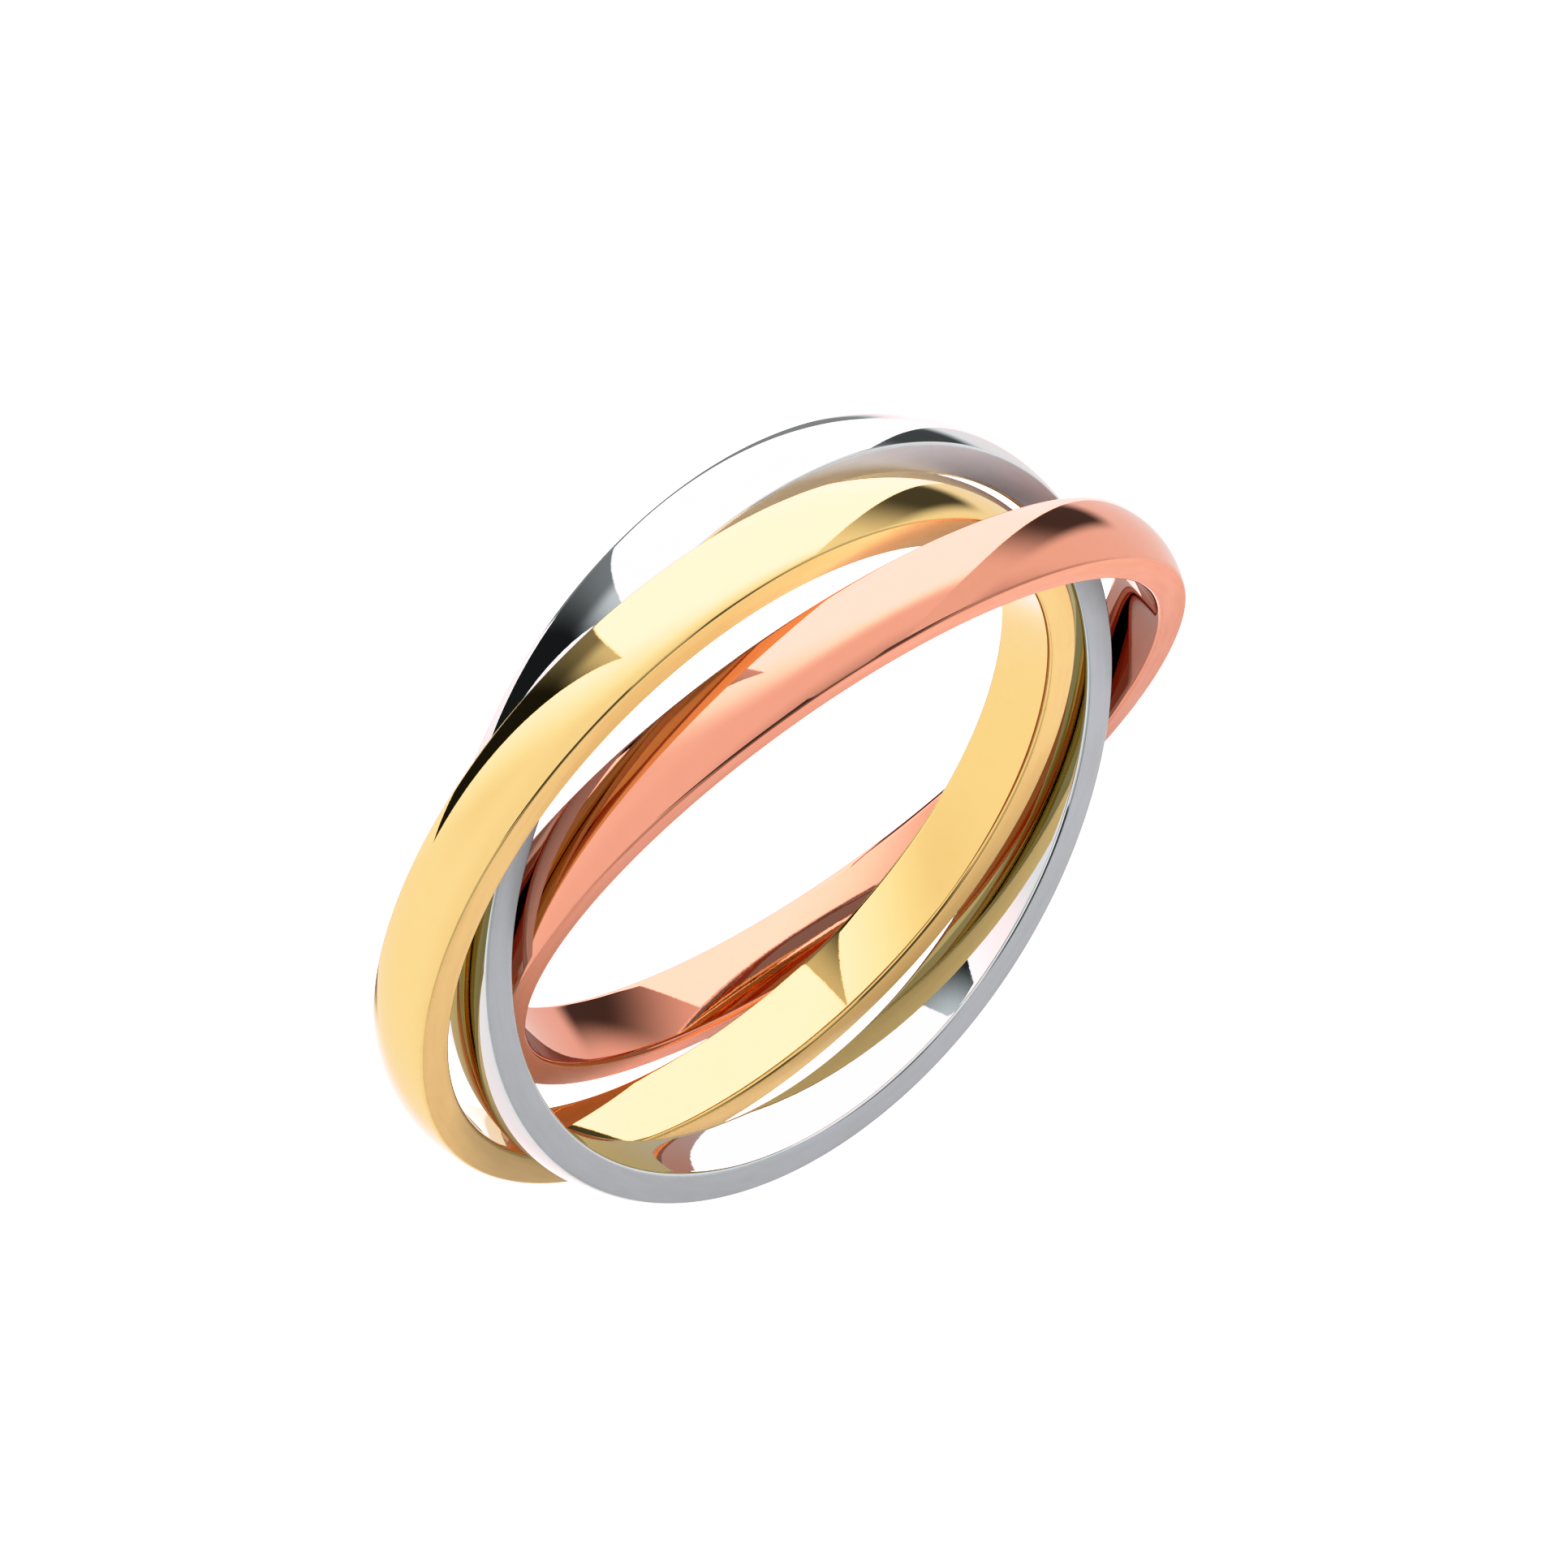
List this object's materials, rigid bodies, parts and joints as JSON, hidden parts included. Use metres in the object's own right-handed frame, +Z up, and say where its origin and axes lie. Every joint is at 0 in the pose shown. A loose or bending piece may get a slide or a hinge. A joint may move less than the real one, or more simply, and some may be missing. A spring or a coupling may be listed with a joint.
{
  "type": "rolling ring",
  "caption": "Finger ring of slim domed bands in yellow, rose and white gold, each linked through the others so that they roll over one another; shown lying fanned out on its side.",
  "frame": {"origin": "under the middle of the set's box, on the surface that the ring lies on", "axes": "+Z up from that surface, roughly along the way a finger goes in; +X along the line that the bands cross on and are slid apart along, towards the yellow band's side"},
  "size_m": [0.0222, 0.0194, 0.0066],
  "materials": {
    "yellow_gold": "polished yellow gold",
    "rose_gold": "polished rose gold",
    "white_gold": "polished rhodium-plated white gold"
  },
  "bodies": {
    "white_band": {"white_gold_band": "white_gold"},
    "yellow_band": {"yellow_gold_band": "yellow_gold"},
    "rose_band": {"rose_gold_band": "rose_gold"}
  },
  "joints": [
    {"name": "yellow_spin", "type": "hinge", "parent": "white_band", "child": "yellow_band", "pos_m": [0.00134, 0, 0.00311], "axis": [0.0185, 0, 0.9998], "continuous": true},
    {"name": "rose_spin", "type": "hinge", "parent": "white_band", "child": "rose_band", "pos_m": [-0.00134, -0.00005, 0.00328], "axis": [0.0179, 0.2537, 0.9671], "continuous": true}
  ]
}
